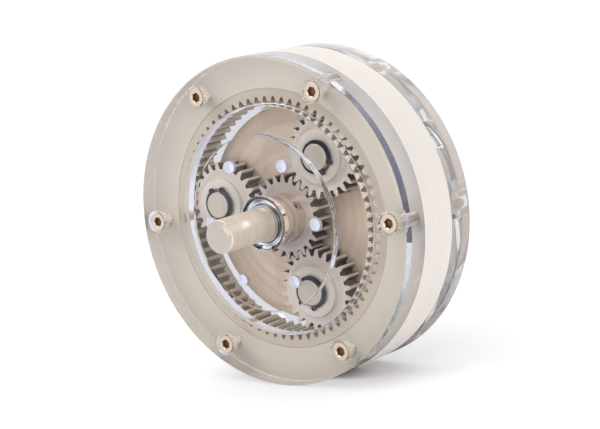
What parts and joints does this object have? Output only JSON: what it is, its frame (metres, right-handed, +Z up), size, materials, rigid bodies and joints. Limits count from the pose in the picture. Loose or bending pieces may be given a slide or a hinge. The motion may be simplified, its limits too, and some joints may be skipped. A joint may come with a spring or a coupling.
{
  "type": "planetary gearbox",
  "caption": "Round planetary gearbox with a cream metal band, clear bolted covers showing the gear train, and keyed shafts on one axis front and rear.",
  "frame": {"origin": "on the common axis of both shafts, midway through the housing", "axes": "-Y out of the input shaft, +Y out of the output shaft, +Z up, +X to the right seen from the input side"},
  "size_m": [0.15, 0.117, 0.15],
  "materials": {
    "clear_acrylic": "polished clear acrylic, faintly warm",
    "cream_metal": "matte cream coating on a turned band",
    "gear_steel": "machined warm grey steel with turning marks",
    "bright_steel": "ground bright steel",
    "spring_steel": "dark blued spring steel",
    "screw_steel": "bright screws, satin",
    "bronze": "plain bearing bronze"
  },
  "bodies": {
    "housing": {"housing_ring": "cream_metal", "ring_gear": "gear_steel", "front_cover": "clear_acrylic", "rear_cover": "clear_acrylic", "front_screw_1": "screw_steel", "front_screw_2": "screw_steel", "front_screw_3": "screw_steel", "front_screw_4": "screw_steel", "front_screw_5": "screw_steel", "front_screw_6": "screw_steel", "rear_screw_1": "screw_steel", "rear_screw_2": "screw_steel", "rear_screw_3": "screw_steel", "rear_screw_4": "screw_steel", "rear_screw_5": "screw_steel", "rear_screw_6": "screw_steel", "input_bearing_outer": "bright_steel", "output_bearing_outer": "bright_steel", "input_snap_ring": "spring_steel", "output_snap_ring": "spring_steel"},
    "input": {"input_shaft": "bright_steel", "sun_gear": "gear_steel", "sun_key": "bright_steel", "sun_collar": "bright_steel", "collar_screw": "screw_steel", "input_circlip": "spring_steel", "input_bearing_inner": "bright_steel"},
    "input_balls": {"input_bearing_balls": "bright_steel"},
    "carrier": {"carrier_plate": "gear_steel", "output_shaft": "bright_steel", "pilot_bush": "bronze", "output_circlip": "spring_steel", "output_bearing_inner": "bright_steel", "planet_pin_1": "bright_steel", "planet_pin_2": "bright_steel", "planet_pin_3": "bright_steel", "pin_circlip_1": "spring_steel", "pin_circlip_2": "spring_steel", "pin_circlip_3": "spring_steel", "thrust_washer_1": "bronze", "thrust_washer_2": "bronze", "thrust_washer_3": "bronze"},
    "output_balls": {"output_bearing_balls": "bright_steel"},
    "planet_1": {"planet_gear_1": "gear_steel", "planet_bush_1": "bronze"},
    "planet_2": {"planet_gear_2": "gear_steel", "planet_bush_2": "bronze"},
    "planet_3": {"planet_gear_3": "gear_steel", "planet_bush_3": "bronze"}
  },
  "joints": [
    {"name": "carrier_spin", "type": "hinge", "parent": "housing", "child": "carrier", "pos_m": [0, 0, 0], "axis": [0, -1, 0], "continuous": true},
    {"name": "input_spin", "type": "hinge", "parent": "housing", "child": "input", "pos_m": [0, 0, 0], "axis": [0, -1, 0], "continuous": true},
    {"name": "input_balls_spin", "type": "hinge", "parent": "housing", "child": "input_balls", "pos_m": [0, 0, 0], "axis": [0, -1, 0], "continuous": true},
    {"name": "output_balls_spin", "type": "hinge", "parent": "housing", "child": "output_balls", "pos_m": [0, 0, 0], "axis": [0, -1, 0], "continuous": true},
    {"name": "planet_1_spin", "type": "hinge", "parent": "carrier", "child": "planet_1", "pos_m": [0.02319, 0, 0.02754], "axis": [0, -1, 0], "continuous": true},
    {"name": "planet_2_spin", "type": "hinge", "parent": "carrier", "child": "planet_2", "pos_m": [-0.03544, 0, 0.00631], "axis": [0, -1, 0], "continuous": true},
    {"name": "planet_3_spin", "type": "hinge", "parent": "carrier", "child": "planet_3", "pos_m": [0.01225, 0, -0.03385], "axis": [0, -1, 0], "continuous": true}
  ],
  "couplings": [
    {"joint": "input_spin", "follows": "carrier_spin", "ratio": 4},
    {"joint": "input_balls_spin", "follows": "carrier_spin", "ratio": 1.7551},
    {"joint": "output_balls_spin", "follows": "carrier_spin", "ratio": 0.4388},
    {"joint": "planet_1_spin", "follows": "carrier_spin", "ratio": -3},
    {"joint": "planet_2_spin", "follows": "carrier_spin", "ratio": -3},
    {"joint": "planet_3_spin", "follows": "carrier_spin", "ratio": -3}
  ]
}
